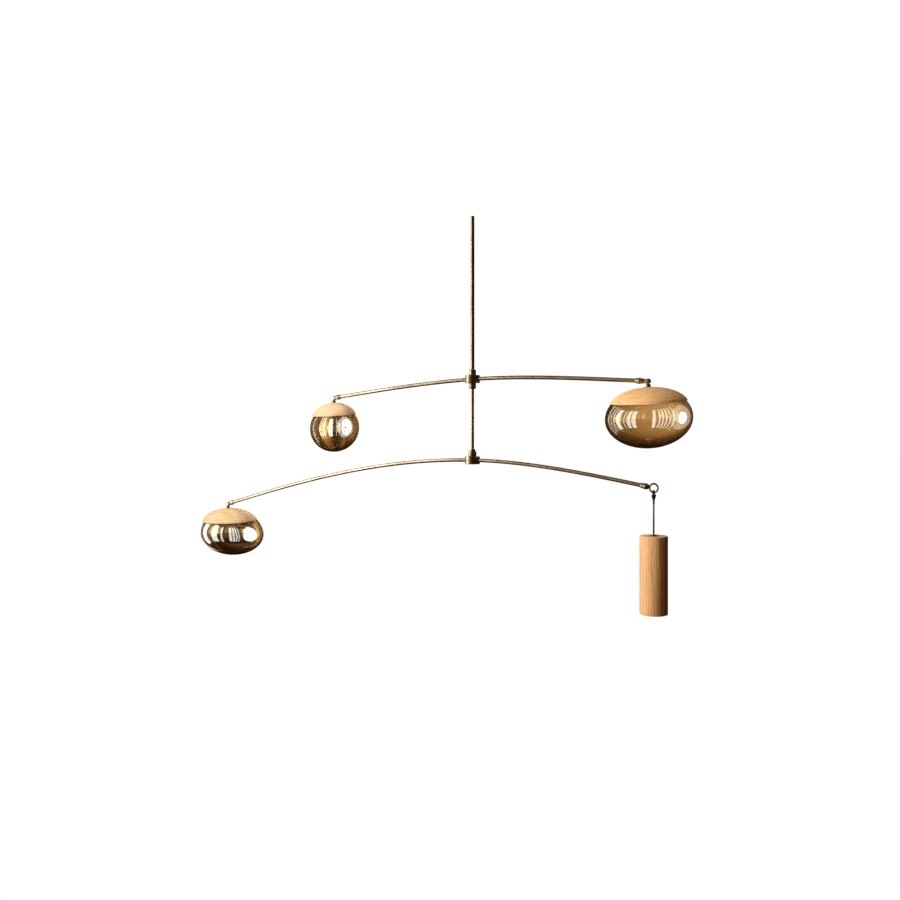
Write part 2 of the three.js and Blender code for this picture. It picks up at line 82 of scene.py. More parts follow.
MM = 0.001
CLEARANCE = 0.3 * MM
INSET = 0.995
DRUM_RADIUS = 23 * MM
ON_AXIS = 1e-9
LONGEST_EASE = 0.48
TURNED_SIDES = 72
BAR_SIDES = 28
SHADE_SIDES = 144
KNUCKLE_SIDES = 48
SMOOTH_ANGLE = radians(38)

Point2 = tuple[float, float]
Triple = tuple[float, float, float]
Colour = Triple
Corner = tuple[float, ...]
Stops = Sequence[tuple[float, Colour]]


class Slot(Enum):
    """The material slots that the pieces take their finish from."""

    AGED_BRASS = "aged_brass"
    CAP_OAK = "cap_oak"
    COUNTERWEIGHT_OAK = "counterweight_oak"
    AMBER_GLASS = "amber_glass"


class Grain(Enum):
    """Which way the oak's grain runs in a piece's own frame."""

    ALONG_X = (0.0, pi / 2, 0.0)
    ALONG_Z = (0.0, 0.0, 0.0)


# Node graphs


class Graph:
    """A small helper that adds shader nodes and joins them."""

    def __init__(self, tree: NodeTree) -> None:
        """Keeps the node tree to fill, and empties it."""
        self.tree = tree
        tree.nodes.clear()

    def add(self, kind: str, **settings: object) -> Node:
        """Adds a node.

        Args:
            kind: the node's type name.
            settings: attributes of the node, or what its inputs are set to or joined with, by their
                names with _ for a space.

        Returns:
            The new node.
        """
        node = self.tree.nodes.new(kind)
        for key, value in settings.items():
            if hasattr(node, key):
                setattr(node, key, value)
            elif isinstance(value, Socket):
                self.join(value, node.inputs[key.replace("_", " ")])
            else:
                node.inputs[key.replace("_", " ")].default_value = value
        return node

    def join(self, source: Socket, target: Socket) -> None:
        """Joins an output to an input."""
        self.tree.links.new(source, target)

    def ramp(self, source: Socket, stops: Stops) -> Socket:
        """Adds a colour ramp.

        Args:
            source: the value that drives the ramp.
            stops: places along the ramp and their colours.

        Returns:
            The ramp's colour output.
        """
        node = self.add("ShaderNodeValToRGB", Fac=source)
        elements = node.color_ramp.elements
        while len(elements) > 1:
            elements.remove(elements[-1])
        elements[0].position, elements[0].color = stops[0][0], (*stops[0][1], 1)
        for place, colour in stops[1:]:
            elements.new(place).color = (*colour, 1)
        return node.outputs["Color"]

    def noise(self, place: Socket, scale: float, detail: float, rough: float = 0.5) -> Socket:
        """Returns a noise with scale features to a metre, and finer octaves as strong as rough says."""
        node = self.add("ShaderNodeTexNoise", Vector=place, Scale=scale, Detail=detail, Roughness=rough)
        return node.outputs["Fac"]

    def stretch(self, place: Socket, scale: Triple, rotation: Triple = (0, 0, 0)) -> Socket:
        """Returns texture coordinates scaled along each axis and turned about it, in radians."""
        node = self.add("ShaderNodeMapping", Vector=place, Scale=scale, Rotation=rotation)
        return node.outputs["Vector"]

    def spread(self, source: Socket, low: float, high: float, start: float = 0.0) -> Socket:
        """Returns a value that runs from start to 1 mapped onto low to high."""
        node = self.add("ShaderNodeMapRange", Value=source, From_Min=start, To_Min=low, To_Max=high)
        return node.outputs["Result"]

    def mix(self, kind: str, amount: float, a: Socket, b: Socket) -> Socket:
        """Mixes two colours.

        Args:
            kind: the blend type.
            amount: how much of the second is used.
            a: the first colour.
            b: the second colour.

        Returns:
            The mixed colour.
        """
        node = self.add("ShaderNodeMix", data_type="RGBA", blend_type=kind)
        node.inputs[0].default_value = amount
        self.join(a, node.inputs[6])
        self.join(b, node.inputs[7])
        return node.outputs[2]

    def bump(self, height: Socket, strength: float, distance: float) -> Socket:
        """Returns the normal that a height of 0 to 1 makes, with the distance of a full step."""
        node = self.add("ShaderNodeBump", Height=height, Strength=strength, Distance=distance)
        return node.outputs["Normal"]

    def choose(self, factor: Socket, first: Node, second: Node) -> Node:
        """Chooses between two shaders.

        Args:
            factor: 0 for the first, 1 for the second.
            first: the first shader.
            second: the second shader.

        Returns:
            The node that passes one of them on.
        """
        node = self.add("ShaderNodeMixShader")
        self.join(factor, node.inputs[0])
        self.join(first.outputs[0], node.inputs[1])
        self.join(second.outputs[0], node.inputs[2])
        return node

    def surface(self, shader: Node, output: str = "ShaderNodeOutputMaterial") -> None:
        """Joins a shader to a new surface output."""
        self.join(shader.outputs[0], self.add(output).inputs["Surface"])


def blank(name: str) -> tuple[Material, Graph]:
    """Makes an empty material.

    Args:
        name: its name.

    Returns:
        The material and the helper that fills it.
    """
    material = bpy.data.materials.new(name)
    material.use_nodes = True
    return material, Graph(material.node_tree)


def added(name: str, data: ID) -> Object:
    """Adds an object to the scene.

    Args:
        name: its name.
        data: its mesh, light or camera.

    Returns:
        The new object.
    """
    made = bpy.data.objects.new(name, data)
    bpy.context.scene.collection.objects.link(made)
    return made


@dataclass(frozen=True)
class AgedBrass:
    """Hand rubbed brass, browned and brightened in random patches."""

    name: str = "aged_brass"
    dark: Colour = (0.26, 0.18, 0.10)
    middle: Colour = (0.34, 0.25, 0.145)
    bright: Colour = (0.42, 0.31, 0.185)
    patch_scale: float = 9.0
    grain_scale: float = 700.0
    smoothest: float = 0.28
    roughest: float = 0.4

    def build(self) -> Material:
        """Makes the material.

        Returns:
            The new material.
        """
        material, graph = blank(self.name)
        place = graph.add("ShaderNodeTexCoord").outputs["Object"]
        patches = graph.noise(place, self.patch_scale, 3, 0.45)
        grain = graph.noise(place, self.grain_scale, 3)
        colour = graph.ramp(patches, [(0.32, self.dark), (0.5, self.middle), (0.72, self.bright)])
        speckle = graph.ramp(grain, [(0.3, (0.8, 0.77, 0.72)), (0.6, (1, 1, 1))])
        worn = graph.mix("MULTIPLY", 0.15, colour, speckle)
        graph.surface(graph.add(
            "ShaderNodeBsdfPrincipled", Metallic=1.0, Base_Color=worn,
            Roughness=graph.spread(patches, self.roughest, self.smoothest),
            Normal=graph.bump(grain, 0.02, 0.05 * MM),
        ))
        return material


@dataclass(frozen=True)
class Oak:
    """Pale oiled oak with growth bands, fine pores and ray flecks."""

    name: str
    grain: Grain
    light: Colour = (0.84, 0.53, 0.25)
    middle: Colour = (0.74, 0.43, 0.18)
    dark: Colour = (0.45, 0.215, 0.075)
    band_scale: float = 34.0
    ring_scale: float = 46.0
    fibre_scale: float = 520.0
    pore_scale: float = 1150.0
    fleck_scale: float = 240.0
    roughness: float = 0.62
    gloss: float = 0.25

    def build(self) -> Material:
        """Makes the material.

        Returns:
            The new material.
        """
        material, graph = blank(self.name)
        place = graph.add("ShaderNodeTexCoord").outputs["Object"]
        grainwise = graph.stretch(place, (1, 1, 1), self.grain.value)
        drawn = graph.stretch(grainwise, (1, 1, 0.09))
        bands = graph.noise(drawn, self.band_scale, 4, 0.55)
        rings = graph.add(
            "ShaderNodeTexWave", wave_type="BANDS", bands_direction="X", Vector=drawn,
            Scale=self.ring_scale, Distortion=7.0, Detail=2.0, Detail_Scale=1.4,
        )
        fibres = graph.noise(graph.stretch(grainwise, (1, 1, 0.035)), self.fibre_scale, 3, 0.6)
        pores = graph.noise(graph.stretch(grainwise, (1, 1, 0.06)), self.pore_scale, 1)
        flecks = graph.noise(graph.stretch(grainwise, (0.35, 1, 0.2)), self.fleck_scale, 2)
        colour = graph.ramp(bands, [(0.3, self.middle), (0.52, self.light), (0.75, self.middle)])
        for kind, amount, source, stops in (
            ("MULTIPLY", 0.8, rings.outputs["Fac"], [(0.55, (1, 1, 1)), (0.95, (0.78, 0.68, 0.56))]),
            ("MULTIPLY", 0.65, fibres, [(0.3, (0.74, 0.67, 0.6)), (0.58, (1, 1, 1))]),
            ("MULTIPLY", 0.35, pores, [(0.30, self.dark), (0.40, (1, 1, 1))]),
            ("ADD", 0.7, flecks, [(0.62, (0, 0, 0)), (0.78, (0.12, 0.09, 0.05))]),
        ):
            colour = graph.mix(kind, amount, colour, graph.ramp(source, stops))
        graph.surface(graph.add(
            "ShaderNodeBsdfPrincipled", Base_Color=colour, Specular_IOR_Level=self.gloss,
            Roughness=graph.spread(fibres, self.roughness + 0.12, self.roughness - 0.08),
            Normal=graph.bump(fibres, 0.25, 0.25 * MM),
        ))
        return material


@dataclass(frozen=True)
class AmberGlass:
    """Clear blown glass with a smoky amber tint and a faintly uneven surface."""

    name: str = "amber_glass"
    tint: Colour = (0.86, 0.73, 0.5)
    pooled: Colour = (0.34, 0.19, 0.07)
    edge: Colour = (0.3, 0.18, 0.08)
    roughness: float = 0.01
    bend: float = 2.1
    ripple_scale: float = 16.0

    def build(self) -> Material:
        """Makes the material.

        Returns:
            The new material.
        """
        material, graph = blank(self.name)
        coordinates = graph.add("ShaderNodeTexCoord")
        place = coordinates.outputs["Object"]
        ripple = graph.noise(graph.stretch(place, (1, 1, 1.8)), self.ripple_scale, 2)
        height = graph.add("ShaderNodeSeparateXYZ", Vector=coordinates.outputs["Generated"])
        depth = graph.ramp(height.outputs["Z"], [(0.02, self.pooled), (0.34, self.tint)])
        rim = graph.add("ShaderNodeLayerWeight", Blend=0.5)
        thick = graph.ramp(rim.outputs["Facing"], [(0.38, (1, 1, 1)), (0.82, self.edge)])
        graph.surface(graph.add(
            "ShaderNodeBsdfPrincipled", Base_Color=graph.mix("MULTIPLY", 1.0, depth, thick),
            Roughness=self.roughness, IOR=self.bend, Transmission_Weight=1.0,
            Normal=graph.bump(ripple, 0.3, 1.0 * MM),
        ))
        return material


class Finish(Enum):
    """The pieces' finishes: the slot that each belongs to, and its material."""

    BRASS = (Slot.AGED_BRASS, AgedBrass())
    # Painted shade: a near-black copy of the aged brass darkens the hook, its hanger and the washer, which
    # hang on the dark side.
    BRONZE = (Slot.AGED_BRASS, AgedBrass(
        "aged_bronze", dark=(0.025, 0.014, 0.007), middle=(0.07, 0.042, 0.02), bright=(0.2, 0.125, 0.06),
    ))
    CAP_OAK = (Slot.CAP_OAK, Oak("cap_oak", Grain.ALONG_X))
    WEIGHT_OAK = (Slot.COUNTERWEIGHT_OAK, Oak("counterweight_oak", Grain.ALONG_Z))
    GLASS = (Slot.AMBER_GLASS, AmberGlass())
    # Painted light: a lighter copy of the same amber glass, with paler pooling and rims, stands in for the
    # brighter light on the two left shades.
    PALE_GLASS = (Slot.AMBER_GLASS, AmberGlass(
        "pale_amber_glass", pooled=(0.46, 0.27, 0.1), edge=(0.72, 0.5, 0.26),
    ))

    @cache
    def material(self) -> Material:
        """Returns the finish's material, which is made once."""
        return self.value[1].build()


# Meshes


@dataclass
class Shell:
    """Vertices and faces of one or more closed skins."""

    points: list[Vector] = field(default_factory=list)
    faces: list[tuple[int, ...]] = field(default_factory=list)

    def stitch(self, rings: Sequence[Sequence[int]]) -> None:
        """Adds the faces between each ring of points and the next.

        Args:
            rings: the numbers of each ring's points.
        """
        for low, high in zip(rings, rings[1:]):
            for k in range(len(low)):
                after = (k + 1) % len(low)
                face = tuple(dict.fromkeys((low[k], low[after], high[after], high[k])))
                if len(face) > 2:
                    self.faces.append(face)

    def moved(self, matrix: Matrix) -> "Shell":
        """Returns a copy moved by a matrix."""
        return Shell([matrix @ p for p in self.points], list(self.faces))

    def shaped(self, change: Callable[[Vector], Vector]) -> "Shell":
        """Returns a copy with each point changed by a function."""
        return Shell([change(p) for p in self.points], list(self.faces))

    def mesh(self, name: str) -> Mesh:
        """Makes a Blender mesh with its faces pointing out.

        Args:
            name: the mesh's name.

        Returns:
            The new mesh.
        """
        made = bpy.data.meshes.new(name)
        made.from_pydata([tuple(p) for p in self.points], [], self.faces)
        work = bmesh.new()
        work.from_mesh(made)
        bmesh.ops.recalc_face_normals(work, faces=work.faces)
        work.to_mesh(made)
        work.free()
        return made


def eased(profile: Sequence[Corner], steps: int = 5) -> list[Point2]:
    """Rounds the corners of a profile.

    Args:
        profile: (radius, height) or (radius, height, rounding) for each corner.
        steps: how many short lines make each rounding.

    Returns:
        The profile's points as (radius, height).
    """
    corners = [Vector(c[:2]) for c in profile]
    points: list[Point2] = []
    for i, corner in enumerate(corners):
        wanted = profile[i][2] if len(profile[i]) > 2 else 0.0
        if wanted <= 0 or i in (0, len(corners) - 1):
            points.append(tuple(corner))
            continue
        back, ahead = corners[i - 1] - corner, corners[i + 1] - corner
        size_back, size_ahead = back.length, ahead.length
        half = back.angle(ahead) / 2
        reach = min(wanted / tan(half), LONGEST_EASE * size_back, LONGEST_EASE * size_ahead)
        start, end = corner + back * (reach / size_back), corner + ahead * (reach / size_ahead)
        for k in range(steps + 1):
            t = k / steps
            weights = (1 - t) ** 2, 2 * t * (1 - t) * sin(half), t * t
            total = sum(weights)
            point = (start * weights[0] + corner * weights[1] + end * weights[2]) / total
            points.append(tuple(point))
    return points


def turned(profile: Sequence[Point2], sides: int = TURNED_SIDES, closed: bool = False) -> Shell:
    """Turns a profile about +Z.

    Args:
        profile: (radius, height) points, up the outside.
        sides: how many sides the turning has.
        closed: whether the profile joins back on its first point.

    Returns:
        The closed skin.
    """
    shell = Shell()
    rings: list[list[int]] = []
    for radius, height in profile:
        if radius < ON_AXIS:
            shell.points.append(Vector((0, 0, height)))
            rings.append([len(shell.points) - 1] * sides)
            continue
        first = len(shell.points)
        for k in range(sides):
            angle = 2 * pi * k / sides
            shell.points.append(Vector((radius * cos(angle), radius * sin(angle), height)))
        rings.append(list(range(first, first + sides)))
    shell.stitch(rings + rings[:1] if closed else rings)
    return shell


def solid(corners: Sequence[Corner], sides: int = TURNED_SIDES) -> Shell:
    """Returns a turned solid with these corners, rounded as eased does and closed on its axis."""
    return turned(eased([(0, corners[0][1]), *corners, (0, corners[-1][1])]), sides)


def swept(path: Sequence[Vector], radius: float, sides: int = BAR_SIDES) -> Shell:
    """Sweeps a round section along a path and closes its ends.

    Args:
        path: the centre line's points.
        radius: the section's radius.
        sides: how many sides the section has.

    Returns:
        The closed skin.
    """
    shell = Shell()
    count = len(path)
    along = [(path[min(i + 1, count - 1)] - path[max(i - 1, 0)]).normalized() for i in range(count)]
    across = along[0].orthogonal().normalized()
    for i, point in enumerate(path):
        across = (across - along[i] * across.dot(along[i])).normalized()
        other = along[i].cross(across)
        for k in range(sides):
            angle = 2 * pi * k / sides
            shell.points.append(point + radius * (across * cos(angle) + other * sin(angle)))
    rings = [range(i * sides, (i + 1) * sides) for i in range(count)]
    shell.stitch(rings)
    shell.faces += [tuple(reversed(rings[0])), tuple(rings[-1])]
    return shell


def block(size: Vector, centre: Vector, edge: float) -> Shell:
    """Makes a box with eased edges.

    Args:
        size: its full size.
        centre: its middle.
        edge: the width of the eased edge.

    Returns:
        The closed skin.
    """
    work = bmesh.new()
    bmesh.ops.create_cube(work, size=1.0)
    bmesh.ops.scale(work, vec=size, verts=work.verts)
    bmesh.ops.translate(work, vec=centre, verts=work.verts)
    bmesh.ops.bevel(work, geom=list(work.edges), offset=edge, segments=2, affect="EDGES", profile=0.5)
    work.verts.index_update()
    shell = Shell([v.co.copy() for v in work.verts], [tuple(v.index for v in f.verts) for f in work.faces])
    work.free()
    return shell


def combined(
    name: str, first: Shell, joined: Sequence[Shell] = (), cut: Sequence[Shell] = ()
) -> Mesh:
    """Joins skins into one and cuts others out of it.

    Args:
        name: the mesh's name.
        first: the skin to start from.
        joined: the skins that are added.
        cut: the skins that are taken away.

    Returns:
        The resulting mesh.
    """
    host = added(name, first.mesh(name))
    tools: list[Object] = []
    for shells, operation in ((joined, "UNION"), (cut, "DIFFERENCE")):
        for number, shell in enumerate(shells):
            label = f"{name}_{operation.lower()}_{number}"
            tool = added(label, shell.mesh(label))
            step = host.modifiers.new(label, "BOOLEAN")
            step.operation, step.object, step.solver = operation, tool, "EXACT"
            tools.append(tool)
    bpy.context.view_layer.update()
    graph = bpy.context.evaluated_depsgraph_get()
    result = bpy.data.meshes.new_from_object(host.evaluated_get(graph))
    result.name = name
    for made in (host, *tools):
        data = made.data
        bpy.data.objects.remove(made)
        bpy.data.meshes.remove(data)
    return result


def dress(node: str, mesh: Mesh, place: Matrix, finish: Finish) -> None:
    """Puts a finished piece in the scene in place of its plain node.

    Args:
        node: the node that the piece stands for.
        mesh: the piece's mesh, in its own frame.
        place: where the piece's frame is.
        finish: the piece's finish.
    """
    slot = finish.value[0]
    mesh.transform(place)
    mesh.polygons.foreach_set("use_smooth", [True] * len(mesh.polygons))
    mesh.set_sharp_from_angle(angle=SMOOTH_ANGLE)
    mesh.materials.clear()
    mesh.materials.append(finish.material())
    piece = added(f"{node}_finished", mesh)
    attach(piece, frame["nodes"][node]["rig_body"])
    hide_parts(node)
    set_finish(piece, slot.value)
    LOG.info("%s: %d faces", piece.name, len(mesh.polygons))


# The object


@dataclass
class Spine:
    """The stem, the two hubs on it and the rod between them."""

    stem_radius: float = 6 * MM
    drum_edge: float = 1.2 * MM
    groove: float = 0.5 * MM
    collar_radius: float = 11 * MM
    rod_radius: float = 5 * MM
    lower_collar_radius: float = 12.5 * MM
    bushing_radius: float = 9.2 * MM

    def drum(self, node: str, arms: Sequence["BowedArm"]) -> None:
        """Builds a hub's drum with a seam round it and a socket for each arm.

        Args:
            node: the node's name.
            arms: the arms that fit in it.
        """
        low, high = (corner.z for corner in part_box(node))
        middle = (low + high) / 2
        radius, edge, groove = DRUM_RADIUS, self.drum_edge, self.groove
        drum = solid([
            (radius, low, edge),
            (radius, middle - groove),
            (radius - groove, middle - 0.2 * groove),
            (radius - groove, middle + 0.2 * groove),
            (radius, middle + groove),
            (radius, high, edge),
        ])
        mesh = combined(node, drum, cut=[arm.socket() for arm in arms])
        dress(node, mesh, Matrix(), Finish.BRASS)

    def build(self, upper: Sequence["BowedArm"], lower: Sequence["BowedArm"]) -> None:
        """Builds every piece of the spine.

        Args:
            upper: the arms in the upper hub.
            lower: the arms in the lower hub.
        """
        # Each round piece, its radius, and the rounding in mm of its bottom and its top edge
        for node, radius, bottom, top in (
            ("stem", self.stem_radius, 0, 0.3),
            ("upper_hub_top_collar", self.collar_radius, 0.3, 3.6),
            ("upper_hub_bottom_collar", self.collar_radius, 3.6, 0.3),
            ("drop_rod", self.rod_radius, 0, 0),
            ("lower_hub_collar", self.lower_collar_radius, 0.3, 1.0),
            ("lower_hub_bushing", self.bushing_radius, 0.3, 1.0),
        ):
            low, high = (corner.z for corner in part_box(node))
            column = solid([(radius, low, bottom * MM), (radius, high, top * MM)])
            dress(node, column.mesh(node), Matrix(), Finish.BRASS)
        self.drum("upper_hub_drum", upper)
        self.drum("lower_hub_drum", lower)


@dataclass
class BowedArm:
    """A bowed bar from a hub to its ferrule."""

    place: str
    side: int
    hub_height: float
    reach: float
    fall: float
    root_rise: float
    end_fall: float
    radius: float
    tip_gap: float
    ferrule_length: float
    ferrule_shoulder: float
    ferrule_radius: float = 9 * MM
    tip_radius: float = 6.3 * MM
    ferrule_wall: float = 0.9 * MM
    seat: float = 12 * MM
    socket_depth: float = 9 * MM
    steps: int = 120

    @property
    def end_angle(self) -> float:
        """The angle that the arm falls at where it ends."""
        return atan(self.end_fall)

    def centre(self, distance: float) -> Vector:
        """Finds a point of the centre line.

        Args:
            distance: how far it is from the hub's axis.

        Returns:
            The point.
        """
        t = distance / self.reach
        root = self.root_rise * self.reach * t * (1 - t) ** 2
        end = self.end_fall * self.reach * t * t * (1 - t)
        height = root + end - self.fall * t * t * (3 - 2 * t)
        return Vector((self.side * distance, 0, self.hub_height + height))

    def line(self, start: float, end: float, steps: int) -> list[Vector]:
        """Returns the centre line's points between two distances."""
        return [self.centre(start + (end - start) * k / steps) for k in range(steps + 1)]

    def socket(self) -> Shell:
        """Returns the hole that the arm sits in."""
        path = self.line(DRUM_RADIUS - self.socket_depth - CLEARANCE, DRUM_RADIUS + self.socket_depth, 4)
        return swept(path, self.radius + CLEARANCE)

    def end_frame(self) -> Matrix:
        """Returns the frame at the arm's end, with +X pointing outward."""
        at = Matrix.Translation((self.side * self.reach, 0, self.hub_height - self.fall))
        return at @ Matrix.Rotation(0 if self.side > 0 else pi, 4, "Z")

    def along(self, distance: float) -> Matrix:
        """Finds a frame that points back along the arm.

        Args:
            distance: how far it is along the arm from the end frame's origin.

        Returns:
            The frame, inside the end frame.
        """
        angle = self.end_angle
        shift = Matrix.Translation((-distance * cos(angle), 0, distance * sin(angle)))
        return shift @ Matrix.Rotation(angle - pi / 2, 4, "Y")

    def build(self) -> None:
        """Builds the bar and its ferrule."""
        start = DRUM_RADIUS - self.socket_depth
        hidden = self.tip_gap + self.ferrule_length - self.seat
        end = self.reach - hidden * cos(self.end_angle)
        bar = swept(self.line(start, end, self.steps), self.radius)
        dress(f"{self.place}_arm", bar.mesh("arm"), Matrix(), Finish.BRASS)

        length, shoulder, wide = self.ferrule_length, self.ferrule_shoulder, self.ferrule_radius
        seat = self.radius + CLEARANCE
        floor = length - self.seat - CLEARANCE
        ferrule = solid([
            (self.tip_radius, 0, 0.6 * MM),
            (wide - 0.35 * MM, shoulder - 0.9 * MM, 0.3 * MM),
            (wide, shoulder, 0.5 * MM),
            (wide - 0.35 * MM, shoulder + 0.9 * MM, 0.3 * MM),
            (seat + self.ferrule_wall, length, 0.4 * MM),
            (seat, length, 0.2 * MM),
            (seat, floor),
        ])
        place = self.end_frame() @ self.along(self.tip_gap)
        dress(f"{self.place}_ferrule", ferrule.mesh("ferrule"), place, Finish.BRASS)


@dataclass
class Knuckle:
    """The hinge between an arm and its shade, a cheek on each side of its pin."""

    cheek_radius: float = 7.2 * MM
    cheek_width: float = 5.8 * MM
    cheek_edge: float = 1.3 * MM
    gap: float = 0.4 * MM
    web: Point2 = (9 * MM, 5 * MM)
    pin_radius: float = 2.4 * MM
    head_radius: float = 3.8 * MM
    head_height: float = 1.2 * MM
    flange_radius: float = 5.8 * MM
    flange_thickness: float = 1.5 * MM
    neck_radius: float = 7 * MM
    base_radius: float = 8.5 * MM
    base_height: float = 1.6 * MM
    neck_drop: float = 16 * MM
    pin_sides: int = 40

    @property
    def foot(self) -> float:
        """How far the cheek's foot is from the hinge."""
        return self.cheek_radius + self.gap

    @property
    def length(self) -> float:
        """How far the ferrule's tip is from the hinge."""
        return self.foot + self.flange_thickness + CLEARANCE

    def lying(self, corners: Sequence[Corner], sides: int = KNUCKLE_SIDES) -> Shell:
        """Returns a solid that is turned about the hinge's axis."""
        return solid(corners, sides).moved(Matrix.Rotation(-pi / 2, 4, "X"))

    def cheek(self) -> tuple[Shell, Shell]:
        """Makes one cheek, on the +Y side of the hinge.

        Returns:
            Its disc and its web.
        """
        inner, outer = self.gap / 2, self.gap / 2 + self.cheek_width
        disc = self.lying([
            (self.cheek_radius, inner, 0.25 * MM), (self.cheek_radius, outer, self.cheek_edge),
        ])
        wide, thick = self.web
        reach = self.foot + 1 * MM
        web = block(Vector((wide, thick, reach)), Vector((0, inner + thick / 2, reach / 2)), 0.5 * MM)
        return disc, web

    def bar(self, radius: float, start: float, end: float, edge: float = 0.0) -> Shell:
        """Returns a round bar along the hinge's axis, with its start's edge rounded."""
        return self.lying([(radius, start, edge), (radius, end)], self.pin_sides)

    def build(self, arm: BowedArm, rolled: Matrix) -> None:
        """Builds the knuckle's half on the arm and its half on the shade.

        Args:
            arm: the arm that carries it.
            rolled: the frame at the hinge, rolled about the arm.
        """
        foot, top = self.foot, self.foot + self.flange_thickness
        wide = self.flange_radius
        flange = solid([(wide, foot, 0.3 * MM), (wide, top, 0.3 * MM)], KNUCKLE_SIDES)
        outer = self.gap / 2 + self.cheek_width
        inner_face = -outer - CLEARANCE
        outer_face = inner_face - self.head_height
        pin = self.bar(self.pin_radius, inner_face - self.head_height / 2, outer / 2)
        head = self.bar(self.head_radius, outer_face, inner_face, 0.5 * MM)
        disc, web = self.cheek()
        mesh = combined("knuckle", disc, joined=[web, flange, pin, head])
        place = rolled @ arm.along(0)
        dress(f"{arm.place}_knuckle", mesh, place, Finish.BRASS)

        end = self.neck_drop - CLEARANCE
        neck = solid([
            (wide, foot, 0.4 * MM),
            (self.neck_radius, top, 0.5 * MM),
            (self.neck_radius, end - self.base_height, 0.3 * MM),
            (self.base_radius, end - 0.6 * self.base_height, 0.4 * MM),
            (self.base_radius, end, 0.2 * MM),
        ], KNUCKLE_SIDES)
        bore = self.bar(self.pin_radius + CLEARANCE, -CLEARANCE, 2 * self.cheek_width)
        mesh = combined("neck", disc, joined=[web, neck], cut=[bore])
        place = rolled @ Matrix.Rotation(pi, 4, "X")
        dress(f"{arm.place}_shade_neck", mesh, place, Finish.BRASS)


@dataclass
class Shade:
    """A blown glass pebble under its turned cap, leaning as it was set."""

    radius: float
    crown: float
    belly: float
    equator_depth: float
    cap_height: float
    roll: float
    lean_x: float
    lean_y: float
    wall: float = 3 * MM
    tuck: float = 6 * MM
    lip: float = 3.2 * MM
    fullness: float = 11 * MM
    seat_radius: float = 9.5 * MM
    outer_steps: int = 56
    inner_steps: int = 52
    dome_steps: int = 40

    def glass_radius(self, depth: float) -> float:
        """Finds the glass's outer radius.

        Args:
            depth: how far below the cap's top.

        Returns:
            The radius there.
        """
        above = self.equator_depth - depth
        half = self.crown if above > 0 else self.belly
        return self.radius * sqrt(max(0.0, 1 - (above / half) ** 2))

    def face(self, wall: float, depth: float, steps: int) -> list[Point2]:
        """Draws one face of the glass's wall, from its lowest point to its mouth.

        Args:
            wall: how far the face is inside the outer one.
            depth: how far the mouth is below the cap's top.
            steps: how many short lines make it.

        Returns:
            The face's (radius, height) points.
        """
        crown, belly, radius = self.crown - wall, self.belly - wall, self.radius - wall
        mouth = asin((self.equator_depth - depth) / crown)
        points: list[Point2] = []
        for k in range(steps + 1):
            angle = -pi / 2 + (mouth + pi / 2) * k / steps
            half = belly if angle < 0 else crown
            level = half * sin(angle) - self.equator_depth
            points.append((0.0 if k == 0 else radius * cos(angle) * INSET, level))
        return points

    def cap(self) -> Shell:
        """Turns the cap, from its recess round the rim to the seat on top.

        Returns:
            The closed skin, not yet leaning.
        """
        recess = self.glass_radius(self.cap_height) + CLEARANCE
        rim, base = recess + self.lip, -self.cap_height
        ceiling = base + self.tuck + CLEARANCE
        half_height = self.cap_height + self.fullness
        rim_angle = asin(self.fullness / half_height)
        half_width = rim / cos(rim_angle)
        seat_angle = acos(self.seat_radius / half_width)
        dome: list[Corner] = []
        for k in range(self.dome_steps + 1):
            angle = rim_angle + (seat_angle - rim_angle) * k / self.dome_steps
            dome.append((half_width * cos(angle), half_height * (sin(angle) - 1)))
        dome[0] = (*dome[0], 0.5 * MM)
        return solid([(recess, ceiling), (recess, base, 0.4 * MM), *dome], SHADE_SIDES)

    def build(self, arm: BowedArm, rolled: Matrix, neck_drop: float) -> None:
        """Builds the cap and the glass.

        Args:
            arm: the arm that carries them.
            rolled: the frame at the hinge, rolled about the arm.
            neck_drop: how far the cap's top is below the hinge.
        """
        def lean(point: Vector) -> Vector:
            """Slides a point sideways in proportion to its depth."""
            slide = -arm.side * point.z
            return point + Vector((self.lean_x * slide, self.lean_y * slide, 0))

        place = rolled @ Matrix.Translation((0, 0, -neck_drop))
        mouth = self.cap_height - self.tuck
        inside = self.face(self.wall, mouth, self.inner_steps)
        section = self.face(0, mouth, self.outer_steps) + inside[::-1]
        glass = turned(section, SHADE_SIDES).shaped(lean)
        # The left shades take the lighter copy of the glass, which paints the brighter light that falls on
        # them.
        finish = Finish.GLASS if arm.side > 0 else Finish.PALE_GLASS
        dress(f"{arm.place}_glass", glass.mesh("glass"), place, finish)
        dress(f"{arm.place}_cap", self.cap().shaped(lean).mesh("cap"), place, Finish.CAP_OAK)


